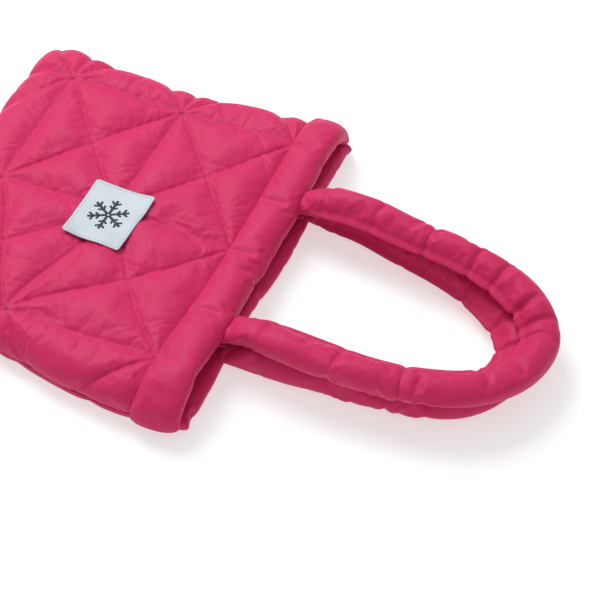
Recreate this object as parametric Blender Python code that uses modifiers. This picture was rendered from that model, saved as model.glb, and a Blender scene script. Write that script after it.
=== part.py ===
"""Quilted skate bag: a padded tote lying on its back panel, with both handles laid out straight.

The frame has +Z up, +X from the bottom seam towards the mouth and handles, and +Y towards the
far side seam. The origin is the middle of the back panel's flat underside.

Each panel is an outer shell, a wadding and a lining, one over the other. Both panels meet at the
bottom seam and at the two side seams. A padded hem rolls along each side of the mouth, and each
tubular handle is sewn on by two flat tabs under its hem.
"""

import math

import bmesh
import bpy
from mathutils import Vector

# Overall sizes, in metres.
BAG_LENGTH = 0.290  # bottom seam to mouth edge
BAG_WIDTH = 0.340  # side seam to side seam
FRONT_HEIGHT = 0.042  # floor to the top of the front panel
BACK_HEIGHT = 0.0117  # floor to the top of the back panel at its seams
CORNER_RADIUS = 0.020  # bottom corners, seen from above

# Cloth and wadding.
CLOTH = 0.001  # shell, lining and handle cover, thicker than the real cloth so that they build
FRONT_WADDING = 0.0097
BACK_FILL_HEIGHT = 0.0110  # floor to the top of the back wadding
LAYER_GAP = 0.0003  # between any two pieces that touch

# Seams round the bottom and both sides.
FRONT_ROUNDING = 0.038  # how far in from its seam the front panel reaches its full height
BACK_ROUNDING = 0.022
SEAM_TURN = 0.004  # seam to the edge of the back lining
SEAM_ALLOWANCE = 0.012  # seam to the edge of the wadding
BINDING_THICKNESS = 0.002

# Padded hems along the mouth.
HEM_WIDTH = 0.038
FRONT_HEM_HEIGHT = 0.026
FRONT_HEM_TOP = 0.049
BACK_HEM_HEIGHT = 0.013
HEM_END_DROP = 0.008  # how far the front hem comes down towards each side seam
HEM_END_REACH = 0.060
HEM_END_CLEARANCE = 0.006  # side seam to the end of a hem
HEM_STEPS = 12

# Handles: a padded tube, its cover sewn from three lengths.
HANDLE_RADIUS = 0.0135
HANDLE_SPACING = 0.018  # between the points of a handle's line
COVER_JOIN = 0.0004
COVER_END_RUN = 0.001  # straight run at each end of a cover's length, so that the ends face square
TUBE_RESOLUTION = 3
TUBE_SIDES = 2 * TUBE_RESOLUTION + 4
TAB_WIDTH = 0.024
TAB_THICKNESS = 0.002
TAB_LENGTH = 0.040
TAB_PROUD = 0.002  # how far a tab stands out past the mouth edge
LYING_HEIGHT = HANDLE_RADIUS * math.cos(math.pi / TUBE_SIDES)  # line of a handle lying on the floor
STACKED_HEIGHT = 3 * LYING_HEIGHT + 0.0012  # line of a handle lying on the other one

# The handles' centre lines: distance out from the mouth edge, distance across, height.
FRONT_HANDLE_ROUTE = (
    (0.004, 0.069, STACKED_HEIGHT),
    (0.048, 0.066, STACKED_HEIGHT),
    (0.095, 0.062, STACKED_HEIGHT),
    (0.140, 0.057, STACKED_HEIGHT),
    (0.180, 0.046, 0.0385),
    (0.212, 0.029, 0.0335),
    (0.229, 0.008, 0.0285),
    (0.229, -0.018, 0.0290),
    (0.218, -0.048, 0.0330),
    (0.192, -0.074, 0.0375),
    (0.155, -0.089, STACKED_HEIGHT),
    (0.119, -0.093, STACKED_HEIGHT),
    (0.079, -0.092, STACKED_HEIGHT),
    (0.045, -0.090, STACKED_HEIGHT),
    (0.004, -0.084, STACKED_HEIGHT),
)
BACK_HANDLE_ROUTE = (
    (0.004, 0.078, LYING_HEIGHT),
    (0.045, 0.077, LYING_HEIGHT),
    (0.087, 0.067, LYING_HEIGHT),
    (0.125, 0.058, LYING_HEIGHT),
    (0.157, 0.046, LYING_HEIGHT),
    (0.184, 0.029, LYING_HEIGHT),
    (0.203, 0.009, LYING_HEIGHT),
    (0.205, -0.018, LYING_HEIGHT),
    (0.196, -0.046, LYING_HEIGHT),
    (0.179, -0.067, LYING_HEIGHT),
    (0.152, -0.079, LYING_HEIGHT),
    (0.123, -0.083, LYING_HEIGHT),
    (0.085, -0.086, LYING_HEIGHT),
    (0.045, -0.088, LYING_HEIGHT),
    (0.004, -0.089, LYING_HEIGHT),
)
FRONT_FAR_LENGTH = 0.118  # the cover's first length, root to join
FRONT_NEAR_LENGTH = 0.150  # its last length, join to root
BACK_FAR_LENGTH = 0.165
BACK_NEAR_LENGTH = 0.135

# Magnetic snap in the middle of the mouth.
SNAP_RADIUS = 0.009
SNAP_THICKNESS = 0.003
SNAP_NUB_RADIUS = 0.0035
SNAP_NUB_HEIGHT = 0.0012
SNAP_RECESS = 0.0008

# Woven label on the front panel.
LABEL_LENGTH = 0.054  # along the bag
LABEL_WIDTH = 0.064  # across the bag
LABEL_THICKNESS = 0.0008
LABEL_CORNER = 0.003
LABEL_FROM_MOUTH = 0.139
LABEL_ACROSS = -0.018
LABEL_TURN = math.radians(-3.0)
STITCH_INSET = 0.003
STITCH_RADIUS = 0.0003
MOTIF_RADIUS = 0.016
MOTIF_WAIST = 0.007
MOTIF_POINTS = 6
MOTIF_THICKNESS = 0.0003

# Places that follow from the sizes above.
MOUTH_X = BAG_LENGTH / 2
BOTTOM_X = -BAG_LENGTH / 2
PANEL_END_X = MOUTH_X - HEM_WIDTH - LAYER_GAP
HEM_X = MOUTH_X - HEM_WIDTH / 2
FRONT_SEAM_HEIGHT = BACK_HEIGHT + LAYER_GAP + CLOTH
BACK_LINING_HEIGHT = BACK_FILL_HEIGHT + LAYER_GAP + CLOTH
HEM_LENGTH = BAG_WIDTH - 2 * HEM_END_CLEARANCE

PINK_CLOTH = (0.687, 0.053, 0.147, 1.0)
PINK_LINING = (0.560, 0.040, 0.110, 1.0)
WHITE_FILL = (0.850, 0.850, 0.840, 1.0)
LABEL_WHITE = (0.660, 0.720, 0.790, 1.0)
INK = (0.020, 0.025, 0.045, 1.0)
NICKEL = (0.620, 0.620, 0.600, 1.0)

for old in list(bpy.data.objects):
    bpy.data.objects.remove(old)
bag = bpy.data.collections.new("skate_bag")
bpy.context.scene.collection.children.link(bag)


def finish(obj, colour, roughness, metallic=0.0):
    """Puts a piece in the bag's collection and gives it its own material."""
    for collection in list(obj.users_collection):
        collection.objects.unlink(obj)
    bag.objects.link(obj)
    material = bpy.data.materials.new(obj.name)
    material.use_nodes = True
    surface = material.node_tree.nodes["Principled BSDF"]
    surface.inputs["Base Color"].default_value = colour
    surface.inputs["Roughness"].default_value = roughness
    surface.inputs["Metallic"].default_value = metallic
    obj.data.materials.clear()
    obj.data.materials.append(material)
    return obj


def mesh_object(name, bm):
    """Turns a bmesh into an object in the scene."""
    bmesh.ops.recalc_face_normals(bm, faces=bm.faces)
    mesh = bpy.data.meshes.new(name)
    bm.to_mesh(mesh)
    bm.free()
    obj = bpy.data.objects.new(name, mesh)
    bpy.context.scene.collection.objects.link(obj)
    return obj


# ---- Panels ---------------------------------------------------------------------------------


def half_width(x):
    """Half the bag's width at x, with its bottom corners rounded."""
    into_corner = CORNER_RADIUS - (x - BOTTOM_X)
    if into_corner <= 0.0:
        return BAG_WIDTH / 2
    return BAG_WIDTH / 2 - CORNER_RADIUS + math.sqrt(CORNER_RADIUS**2 - into_corner**2)


def rise(distance, reach):
    """0 at a seam, and up along a parabola to 1 at reach inside it."""
    share = min(max(distance / reach, 0.0), 1.0)
    return 1.0 - (1.0 - share) ** 2


def clear_of_seams(x, y, reach):
    """0 on the bottom seam and both side seams, 1 where the panel has its full height."""
    return min(rise(x - BOTTOM_X, reach), rise(half_width(x) - abs(y), reach))


def front_top(x, y):
    """Upper face of the front shell."""
    height = FRONT_HEIGHT - FRONT_SEAM_HEIGHT
    return FRONT_SEAM_HEIGHT + height * clear_of_seams(x, y, FRONT_ROUNDING)


def back_bottom(x, y):
    """Lower face of the back shell: flat on the floor, and up to its seams at the edges."""
    return (BACK_HEIGHT - CLOTH) * (1.0 - clear_of_seams(x, y, BACK_ROUNDING))


def seam_lines():
    """Distances in from a seam at which every layer has a row of points, so that they nest."""
    return [
        0.0,
        SEAM_TURN,
        SEAM_ALLOWANCE,
        BACK_ROUNDING,
        (BACK_ROUNDING + FRONT_ROUNDING) / 2,
        FRONT_ROUNDING,
    ]


def evenly(start, end, steps):
    """The points after start, up to and with end, in equal steps."""
    return [start + (end - start) * i / steps for i in range(1, steps + 1)]


def panel_layer(name, bottom, top, skipped):
    """One layer of a panel: a closed sheet between two faces, with its outer rows left out."""
    lines = seam_lines()
    rows = [BOTTOM_X + d for d in lines] + evenly(BOTTOM_X + lines[-1], PANEL_END_X, 6)
    rows = rows[skipped:]
    inner = 1.0 - lines[-1] / (BAG_WIDTH / 2)
    middle = [-inner] + evenly(-inner, inner, 6)
    columns = len(lines) * 2 - 2 + len(middle) - 2 * skipped
    bm = bmesh.new()
    bmesh.ops.create_grid(bm, x_segments=len(rows) - 1, y_segments=columns - 1, size=0.5)
    for vert in bm.verts:
        x = rows[round((vert.co.x + 0.5) * (len(rows) - 1))]
        column = round((vert.co.y + 0.5) * (columns - 1)) + skipped
        last = columns - 1 + 2 * skipped
        half = half_width(x)
        if column < len(lines):
            y = lines[column] - half
        elif last - column < len(lines):
            y = half - lines[last - column]
        else:
            y = middle[column - len(lines) + 1] / inner * (half - lines[-1])
        vert.co = (x, y, bottom(x, y))
    bmesh.ops.triangulate(bm, faces=bm.faces, quad_method="FIXED")
    lifted = bmesh.ops.extrude_face_region(bm, geom=bm.faces[:])["geom"]
    for vert in lifted:
        if isinstance(vert, bmesh.types.BMVert):
            vert.co.z = top(vert.co.x, vert.co.y)
    return mesh_object(name, bm)


def build_front_panel():
    fill_drop = CLOTH + LAYER_GAP
    lining_drop = fill_drop + FRONT_WADDING + LAYER_GAP
    shell = panel_layer("front_shell", lambda x, y: front_top(x, y) - CLOTH, front_top, 0)
    finish(shell, PINK_CLOTH, 0.55)
    wadding = panel_layer(
        "front_wadding",
        lambda x, y: front_top(x, y) - fill_drop - FRONT_WADDING,
        lambda x, y: front_top(x, y) - fill_drop,
        2,
    )
    finish(wadding, WHITE_FILL, 0.95)
    lining = panel_layer(
        "front_lining",
        lambda x, y: front_top(x, y) - lining_drop - CLOTH,
        lambda x, y: front_top(x, y) - lining_drop,
        2,
    )
    finish(lining, PINK_LINING, 0.65)


def build_back_panel():
    fill_rise = CLOTH + LAYER_GAP
    shell = panel_layer("back_shell", back_bottom, lambda x, y: back_bottom(x, y) + CLOTH, 0)
    finish(shell, PINK_CLOTH, 0.55)
    wadding = panel_layer(
        "back_wadding",
        lambda x, y: back_bottom(x, y) + fill_rise,
        lambda x, y: BACK_FILL_HEIGHT,
        2,
    )
    finish(wadding, WHITE_FILL, 0.95)
    lining = panel_layer(
        "back_lining",
        lambda x, y: BACK_LINING_HEIGHT - CLOTH,
        lambda x, y: BACK_LINING_HEIGHT,
        1,
    )
    finish(lining, PINK_LINING, 0.65)


# ---- Flat pieces ----------------------------------------------------------------------------


def plate(name, low, high, corner=0.0, turn=0.0):
    """A flat rectangle between two corners, with its upright edges rounded."""
    low, high = Vector(low), Vector(high)
    size = high - low
    bm = bmesh.new()
    bmesh.ops.create_cube(bm, size=1.0)
    bmesh.ops.scale(bm, vec=size, verts=bm.verts)
    if corner > 0.0:
        upright = [e for e in bm.edges if abs(e.verts[0].co.z - e.verts[1].co.z) > size.z / 2]
        bmesh.ops.bevel(bm, geom=upright, offset=corner, segments=4, profile=0.5, affect="EDGES")
    obj = mesh_object(name, bm)
    obj.location = (low + high) / 2
    obj.rotation_euler.z = turn
    return obj


def build_bindings():
    """Tape over the raw edges inside the side seams and the bottom seam, on the back lining."""
    low_z = BACK_LINING_HEIGHT + LAYER_GAP
    high_z = low_z + BINDING_THICKNESS
    corner_x = BOTTOM_X + CORNER_RADIUS
    for side, name in ((1, "side_binding_far"), (-1, "side_binding_near")):
        outer = side * (BAG_WIDTH / 2 - SEAM_TURN)
        inner = side * (BAG_WIDTH / 2 - SEAM_ALLOWANCE)
        low = (corner_x, min(outer, inner), low_z)
        high = (PANEL_END_X, max(outer, inner), high_z)
        finish(plate(name, low, high), PINK_LINING, 0.7)
    reach = BAG_WIDTH / 2 - CORNER_RADIUS
    low = (BOTTOM_X + SEAM_TURN, -reach, low_z)
    high = (BOTTOM_X + SEAM_ALLOWANCE, reach, high_z)
    finish(plate("bottom_binding", low, high), PINK_LINING, 0.7)


def build_tabs():
    """The flat ends of the handles, sewn under the front hem and over the back hem."""
    front_z = FRONT_HEM_TOP - FRONT_HEM_HEIGHT - LAYER_GAP - TAB_THICKNESS
    back_z = BACK_HEM_HEIGHT + LAYER_GAP
    for panel, route, low_z in (
        ("front", FRONT_HANDLE_ROUTE, front_z),
        ("back", BACK_HANDLE_ROUTE, back_z),
    ):
        for end, root in (("far", route[0]), ("near", route[-1])):
            far_x = MOUTH_X + TAB_PROUD
            low = (far_x - TAB_LENGTH, root[1] - TAB_WIDTH / 2, low_z)
            high = (far_x, root[1] + TAB_WIDTH / 2, low_z + TAB_THICKNESS)
            finish(plate(f"{panel}_handle_tab_{end}", low, high), PINK_CLOTH, 0.6)


def build_label():
    """The woven label, its line of stitches and a printed six-pointed star."""
    centre = Vector((MOUTH_X - LABEL_FROM_MOUTH, LABEL_ACROSS, FRONT_HEIGHT + LAYER_GAP))
    half = Vector((LABEL_LENGTH / 2, LABEL_WIDTH / 2, 0.0))
    top = centre + Vector((0.0, 0.0, LABEL_THICKNESS))
    label = plate("label", centre - half, top + half, LABEL_CORNER, LABEL_TURN)
    finish(label, LABEL_WHITE, 0.8)

    stitch_half = half - Vector((STITCH_INSET, STITCH_INSET, 0.0))
    signs = ((1, 1), (-1, 1), (-1, -1), (1, -1))
    corners = [(sx * stitch_half.x, sy * stitch_half.y, 0.0) for sx, sy in signs]
    stitches = curve_object("label_stitching", corners, STITCH_RADIUS, 1, closed=True)
    stitches.location = top + Vector((0.0, 0.0, STITCH_RADIUS + LAYER_GAP))
    stitches.rotation_euler.z = LABEL_TURN
    finish(stitches, LABEL_WHITE, 0.7)

    outline = []
    for i in range(2 * MOTIF_POINTS):
        radius = MOTIF_WAIST if i % 2 else MOTIF_RADIUS
        angle = math.pi * i / MOTIF_POINTS
        outline.append((radius * math.cos(angle), radius * math.sin(angle), 0.0))
    motif = curve_object("label_motif", outline, 0.0, 0, closed=True)
    motif.data.dimensions = "2D"
    motif.data.fill_mode = "BOTH"
    motif.data.extrude = MOTIF_THICKNESS / 2
    motif.location = top + Vector((0.0, 0.0, MOTIF_THICKNESS / 2 + LAYER_GAP))
    motif.rotation_euler.z = LABEL_TURN
    finish(motif, INK, 0.6)


# ---- Tubes ----------------------------------------------------------------------------------


def curve_object(name, points, radius, resolution, closed=False, capped=True):
    """A round tube along straight runs between points."""
    data = bpy.data.curves.new(name, "CURVE")
    data.dimensions = "3D"
    data.fill_mode = "FULL"
    data.bevel_depth = radius
    data.bevel_resolution = resolution
    data.use_fill_caps = capped and not closed
    spline = data.splines.new("POLY")
    spline.points.add(len(points) - 1)
    for point, co in zip(spline.points, points):
        point.co = (*co, 1.0)
    spline.use_cyclic_u = closed
    obj = bpy.data.objects.new(name, data)
    bpy.context.scene.collection.objects.link(obj)
    return obj


def hollow(obj):
    """Gives an open tube a cloth wall on its inner side."""
    wall = obj.modifiers.new("wall", "SOLIDIFY")
    wall.thickness = CLOTH
    wall.offset = -1.0
    wall.use_even_offset = True
    return obj


def smooth_line(route):
    """Points close together on a smooth curve through the route's own points."""
    ends = [2 * route[0] - route[1]] + route + [2 * route[-1] - route[-2]]
    line = []
    for a, b, c, d in zip(ends, ends[1:], ends[2:], ends[3:]):
        for i in range(24):
            t = i / 24
            line.append(
                0.5
                * (
                    2 * b
                    + (c - a) * t
                    + (2 * a - 5 * b + 4 * c - d) * t**2
                    + (3 * b - 3 * c + d - a) * t**3
                )
            )
    return line + [route[-1]]


def stations(line, distances):
    """Points at the given distances along a line."""
    found = []
    travelled = 0.0
    wanted = list(distances)
    for a, b in zip(line, line[1:]):
        step = (b - a).length
        while wanted and wanted[0] <= travelled + step + 1e-9:
            found.append(a.lerp(b, min((wanted.pop(0) - travelled) / step, 1.0)))
        travelled += step
    return found


def build_handle(panel, route, far_length, near_length):
    """A handle: a soft core in a cover of three lengths, sewn end to end."""
    line = smooth_line([Vector((MOUTH_X + out, across, height)) for out, across, height in route])
    length = sum((b - a).length for a, b in zip(line, line[1:]))
    joins = (0.0, far_length, length - near_length, length)
    core_points = []
    for end, start, stop in zip(("far", "bend", "near"), joins, joins[1:]):
        start += COVER_JOIN / 2 if start > 0.0 else 0.0
        stop -= COVER_JOIN / 2 if stop < length else 0.0
        first, last = start + COVER_END_RUN, stop - COVER_END_RUN
        steps = math.ceil((last - first) / HANDLE_SPACING)
        points = stations(line, [start, first] + evenly(first, last, steps) + [stop])
        name = f"{panel}_handle_cover_{end}"
        cover = curve_object(name, points, HANDLE_RADIUS, TUBE_RESOLUTION, capped=False)
        finish(hollow(cover), PINK_CLOTH, 0.55)
        core_points += points
    radius = (HANDLE_RADIUS - CLOTH) * math.cos(math.pi / TUBE_SIDES) - LAYER_GAP
    core = curve_object(f"{panel}_handle_core", core_points, radius, TUBE_RESOLUTION)
    finish(core, WHITE_FILL, 0.95)


def hem_line(height, drop):
    """Points along a hem from side to side, coming down at both ends."""
    points = []
    for i in range(HEM_STEPS + 1):
        y = HEM_LENGTH * (i / HEM_STEPS - 0.5)
        share = max(0.0, 1.0 - (HEM_LENGTH / 2 - abs(y)) / HEM_END_REACH)
        points.append((0.0, y, height - drop * share**2))
    return points


def stretched_tube(name, points, radius, width, capped):
    """A tube whose round section is stretched along X to the given width."""
    curve = curve_object(name + "_line", points, radius, TUBE_RESOLUTION, capped=capped)
    depsgraph = bpy.context.evaluated_depsgraph_get()
    mesh = bpy.data.meshes.new_from_object(curve.evaluated_get(depsgraph))
    bpy.data.objects.remove(curve)
    bm = bmesh.new()
    bm.from_mesh(mesh)
    bpy.data.meshes.remove(mesh)
    bmesh.ops.remove_doubles(bm, verts=bm.verts, dist=1e-5)
    bmesh.ops.scale(bm, vec=(width / 2 / radius, 1.0, 1.0), verts=bm.verts)
    obj = mesh_object(name, bm)
    obj.location.x = HEM_X
    return obj


def build_hem(panel, height, thickness, drop):
    """A hem: the shell cloth turned over a soft roll along the mouth."""
    points = hem_line(height, drop)
    cover = stretched_tube(f"{panel}_hem_cover", points, thickness / 2, HEM_WIDTH, False)
    finish(hollow(cover), PINK_CLOTH, 0.55)
    flat = math.cos(math.pi / TUBE_SIDES)
    radius = (thickness / 2 - CLOTH) * flat - LAYER_GAP
    width = (HEM_WIDTH - 2 * CLOTH) * flat - 2 * LAYER_GAP
    roll = stretched_tube(f"{panel}_hem_wadding", points, radius, width, True)
    finish(roll, WHITE_FILL, 0.95)


# ---- Snap -----------------------------------------------------------------------------------


def turned(name, profile):
    """A turned solid: its profile runs from the axis at the top, round the outside, to the axis."""
    bm = bmesh.new()
    verts = [bm.verts.new((radius, 0.0, z)) for radius, z in profile]
    for a, b in zip(verts, verts[1:]):
        bm.edges.new((a, b))
    mesh = bpy.data.meshes.new(name)
    bm.to_mesh(mesh)
    bm.free()
    obj = bpy.data.objects.new(name, mesh)
    bpy.context.scene.collection.objects.link(obj)
    screw = obj.modifiers.new("turn", "SCREW")
    screw.steps = 24
    screw.render_steps = 24
    screw.use_merge_vertices = True
    screw.merge_threshold = 0.00005
    return obj


def build_snap():
    """Two round halves in the middle of the mouth, the socket under the front hem."""
    socket_top = FRONT_HEM_TOP - FRONT_HEM_HEIGHT - LAYER_GAP
    socket_bottom = socket_top - SNAP_THICKNESS
    socket = turned(
        "snap_socket",
        (
            (0.0, socket_top),
            (SNAP_RADIUS, socket_top),
            (SNAP_RADIUS, socket_bottom),
            (SNAP_NUB_RADIUS + SNAP_RECESS, socket_bottom),
            (SNAP_NUB_RADIUS + SNAP_RECESS, socket_bottom + SNAP_NUB_HEIGHT + LAYER_GAP),
            (0.0, socket_bottom + SNAP_NUB_HEIGHT + LAYER_GAP),
        ),
    )
    socket.location.x = HEM_X
    finish(socket, NICKEL, 0.3, 1.0)
    stud_bottom = BACK_HEM_HEIGHT + LAYER_GAP
    stud_face = stud_bottom + SNAP_THICKNESS
    stud = turned(
        "snap_stud",
        (
            (0.0, stud_face + SNAP_NUB_HEIGHT),
            (SNAP_NUB_RADIUS, stud_face + SNAP_NUB_HEIGHT),
            (SNAP_NUB_RADIUS, stud_face),
            (SNAP_RADIUS, stud_face),
            (SNAP_RADIUS, stud_bottom),
            (0.0, stud_bottom),
        ),
    )
    stud.location.x = HEM_X
    finish(stud, NICKEL, 0.3, 1.0)


build_back_panel()
build_front_panel()
build_bindings()
build_hem("back", BACK_HEM_HEIGHT / 2, BACK_HEM_HEIGHT, 0.0)
build_hem("front", FRONT_HEM_TOP - FRONT_HEM_HEIGHT / 2, FRONT_HEM_HEIGHT, HEM_END_DROP)
build_tabs()
build_handle("back", BACK_HANDLE_ROUTE, BACK_FAR_LENGTH, BACK_NEAR_LENGTH)
build_handle("front", FRONT_HANDLE_ROUTE, FRONT_FAR_LENGTH, FRONT_NEAR_LENGTH)
build_snap()
build_label()
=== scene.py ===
"""Looks for the quilted skate bag: its cloth, wadding, seams, handles and label, round the CAD frame."""

import math

import bmesh
import bpy
import numpy as np
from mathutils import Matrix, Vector
from mathutils.bvhtree import BVHTree


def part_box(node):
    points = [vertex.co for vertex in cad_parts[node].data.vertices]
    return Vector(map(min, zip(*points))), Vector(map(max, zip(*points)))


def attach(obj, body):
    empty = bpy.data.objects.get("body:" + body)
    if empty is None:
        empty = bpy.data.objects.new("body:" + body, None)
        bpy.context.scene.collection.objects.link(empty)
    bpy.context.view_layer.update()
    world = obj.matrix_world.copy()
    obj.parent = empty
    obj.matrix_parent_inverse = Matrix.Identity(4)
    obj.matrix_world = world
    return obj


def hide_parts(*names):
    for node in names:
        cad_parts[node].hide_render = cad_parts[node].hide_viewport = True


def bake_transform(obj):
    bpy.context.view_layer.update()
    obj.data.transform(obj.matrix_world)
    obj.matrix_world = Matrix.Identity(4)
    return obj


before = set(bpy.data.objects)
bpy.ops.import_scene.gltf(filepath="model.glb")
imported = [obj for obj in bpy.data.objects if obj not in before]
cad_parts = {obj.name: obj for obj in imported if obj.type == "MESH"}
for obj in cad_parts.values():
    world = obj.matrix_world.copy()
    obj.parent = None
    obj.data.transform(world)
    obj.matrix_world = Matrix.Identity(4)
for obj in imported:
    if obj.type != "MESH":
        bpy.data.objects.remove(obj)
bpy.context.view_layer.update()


# ---- Studio -------------------------------------------------------------------------------
# The bag lies on a plain white table under a broad, soft light that comes from behind it and
# from the bottom of the bag. The camera stands to its right, about two arm lengths away.

MOUTH_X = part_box("front_hem_cover")[1].x
AIM = Vector((MOUTH_X + 0.0282, -0.0089, 0.0))
CAMERA_DISTANCE = 1.6333
CAMERA_TURN = math.radians(23.1)
CAMERA_RISE = math.radians(48.3)
SENSOR = 36.0
LENS = 120.0
TABLE_SIZE = 12.0

backward = Vector(
    (
        math.sin(CAMERA_TURN) * math.cos(CAMERA_RISE),
        -math.cos(CAMERA_TURN) * math.cos(CAMERA_RISE),
        math.sin(CAMERA_RISE),
    )
)
camera_data = bpy.data.cameras.new("camera")
camera_data.sensor_width = SENSOR
camera_data.lens = LENS
camera = bpy.data.objects.new("camera", camera_data)
bpy.context.scene.collection.objects.link(camera)
camera.location = AIM + backward * CAMERA_DISTANCE
camera.rotation_mode = "QUATERNION"
camera.rotation_quaternion = (-backward).to_track_quat("-Z", "Y")
bpy.context.scene.camera = camera
bpy.context.scene.view_settings.view_transform = "Standard"

world = bpy.data.worlds.new("studio_air")
world.use_nodes = True
world.node_tree.nodes["Background"].inputs["Color"].default_value = (1.0, 1.0, 1.0, 1.0)
world.node_tree.nodes["Background"].inputs["Strength"].default_value = 0.58
bpy.context.scene.world = world


def soft_light(name, place, size, power):
    """A square light at place that shines at the bag."""
    data = bpy.data.lights.new(name, "AREA")
    data.shape = "SQUARE"
    data.size = size
    data.energy = power
    light = bpy.data.objects.new(name, data)
    bpy.context.scene.collection.objects.link(light)
    light.location = place
    light.rotation_euler = (-Vector(place)).to_track_quat("-Z", "Y").to_euler()
    return light


soft_light("key_light", (-0.9, 0.7, 1.7), 1.2, 34.0)


class Wire:
    """One output of a shader node. Arithmetic on it adds Math nodes."""

    def __init__(self, finish, socket):
        self.finish = finish
        self.socket = socket

    def math(self, operation, *values):
        return self.finish.node("ShaderNodeMath", {"operation": operation}, dict(enumerate(values)))

    def __add__(self, other):
        return self.math("ADD", self, other)

    def __sub__(self, other):
        return self.math("SUBTRACT", self, other)

    def __rsub__(self, other):
        return self.math("SUBTRACT", other, self)

    def __mul__(self, other):
        return self.math("MULTIPLY", self, other)

    __radd__ = __add__
    __rmul__ = __mul__


class Finish:
    """A material whose surface is one Principled shader."""

    def __init__(self, name, **values):
        self.material = bpy.data.materials.new(name)
        self.material.use_nodes = True
        self.nodes = self.material.node_tree.nodes
        self.surface = self.nodes["Principled BSDF"]
        self.set(**values)

    def node(self, kind, settings=None, inputs=None, output=0):
        """Adds a node: its settings first, then the values or wires of its sockets."""
        made = self.nodes.new(kind)
        for key, value in (settings or {}).items():
            setattr(made, key, value)
        for key, value in (inputs or {}).items():
            self.feed(made.inputs[key], value)
        return Wire(self, made.outputs[output])

    def feed(self, socket, value):
        if isinstance(value, Wire):
            self.material.node_tree.links.new(value.socket, socket)
        else:
            socket.default_value = value

    def set(self, **values):
        """Sets the surface's sockets, named with underscores for spaces."""
        for key, value in values.items():
            self.feed(self.surface.inputs[key.replace("_", " ")], value)

    def place(self):
        return self.node("ShaderNodeTexCoord", output="Object")

    def noise(self, scale, detail=2.0, stretch=(1.0, 1.0, 1.0), roughness=0.5):
        """Noise from 0 to 1; scale is in features per metre."""
        spot = self.node("ShaderNodeVectorMath", {"operation": "MULTIPLY"}, {0: self.place(), 1: stretch})
        inputs = {"Vector": spot, "Scale": scale, "Detail": detail, "Roughness": roughness}
        return self.node("ShaderNodeTexNoise", {}, inputs)

    def mix(self, share, first, second):
        """A colour between first and second."""
        settings = {"data_type": "RGBA"}
        return self.node("ShaderNodeMix", settings, {0: share, 6: first, 7: second}, 2)

    def bump(self, height, distance, strength=1.0, under=None):
        inputs = {"Height": height, "Distance": distance, "Strength": strength}
        if under is not None:
            inputs["Normal"] = under
        return self.node("ShaderNodeBump", {}, inputs)


table_mesh = bpy.data.meshes.new("table")
table_build = bmesh.new()
bmesh.ops.create_grid(table_build, x_segments=1, y_segments=1, size=TABLE_SIZE / 2)
table_build.to_mesh(table_mesh)
table_build.free()
table = bpy.data.objects.new("table", table_mesh)
table.location.z = -0.0002
bpy.context.scene.collection.objects.link(table)
# The table glows: painted light that lightens the shadows cast on it and lights the bag from below. Its
# dim, slightly green-grey base colour weakens the pink light bounced off the bag into those shadows.
glowing_table_finish = Finish("glowing_white_table", Base_Color=(0.56, 0.59, 0.58, 1.0), Roughness=0.9)
glowing_table_finish.set(Specular_IOR_Level=0.1, Emission_Color=(1.0, 1.0, 1.0, 1.0), Emission_Strength=0.52)
table_mesh.materials.append(glowing_table_finish.material)


# ---- Shell cloth --------------------------------------------------------------------------
# Bright pink nylon, downproof and calendered on one side, so it has a soft sheen, a very fine
# weave and small creases that cross each other where the cloth was packed.

NYLON_LIT = (0.600, 0.025, 0.122, 1.0)
NYLON_DEEP = (0.540, 0.019, 0.099, 1.0)


def nylon(name, lit=NYLON_LIT, deep=NYLON_DEEP, roughness=0.52):
    """The shell cloth's finish: colour drift, small creases and a fine plain weave."""
    finish = Finish(name, Sheen_Weight=0.07, Sheen_Roughness=0.45, Specular_IOR_Level=0.16)
    finish.set(Sheen_Tint=(1.0, 0.55, 0.70, 1.0))
    drift = finish.noise(14.0, 3.0)
    grain = finish.noise(900.0, 1.0)
    shade = finish.mix(drift * 0.8 + grain * 0.2, deep, lit)
    creases = finish.noise(70.0, 4.0, (1.0, 0.55, 1.0), 0.6)
    weave = finish.noise(1600.0, 0.0)
    ripples = finish.noise(24.0, 2.0, (1.0, 0.45, 1.0))
    folds = finish.bump(creases, 0.0015, 0.75, finish.bump(ripples, 0.0042, 0.55))
    finish.set(
        Base_Color=shade,
        Roughness=roughness + 0.10 * creases - 0.05,
        Normal=finish.bump(weave, 0.00006, 0.6, folds),
    )
    return finish.material


shell_cloth = nylon("pink_nylon")


# ---- Quilted front panel ------------------------------------------------------------------
# The upper side of the bag: shell cloth quilted to thick wadding along a square grid and both
# diagonals of each square, so it stands in three-cornered pads that pucker at the stitching. It
# turns down over the bottom and both sides to the seam that joins it to the back panel.

CELL_LENGTH = 0.106
CELL_WIDTH = 0.130
FAR_ROW_Y = 0.123  # the far row of seams along the bag
SLIP = 0.26  # share of a square that the near row has slipped towards the bottom
CHANNEL_SETBACK = 0.033  # mouth edge to the seam that closes the hem's channel
CHANNEL_DIP = 0.0020
QUILT_DEPTH = 0.0047  # how far the pads stand proud before they swell
QUILT_TURN = 0.0054  # distance from a seam over which a pad rises
FRONT_GRID = 0.0020
SIDE_TURN = 0.030  # width of the turn from the top down to a side seam
SIDE_TUCK = math.radians(-20.0)
SIDE_SEAM_Z = 0.0095
CLOTH_THICKNESS = 0.0006
PANEL_CORNER = 0.013  # radius of the bottom corners
STUFFING_PRESSURE = 4.0  # how hard the wadding pushes on the cloth round it
QUILT_LINES = ((1.0, 0.0), (0.0, 1.0), (1.0, 1.0), (1.0, -1.0))

shell_low, shell_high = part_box("front_shell")
BOTTOM_X = shell_low.x
HALF_WIDTH = shell_high.y
FRONT_SEAM_Z = shell_high.z - 0.0068
FRONT_LINING_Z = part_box("front_lining")[1].z


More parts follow.
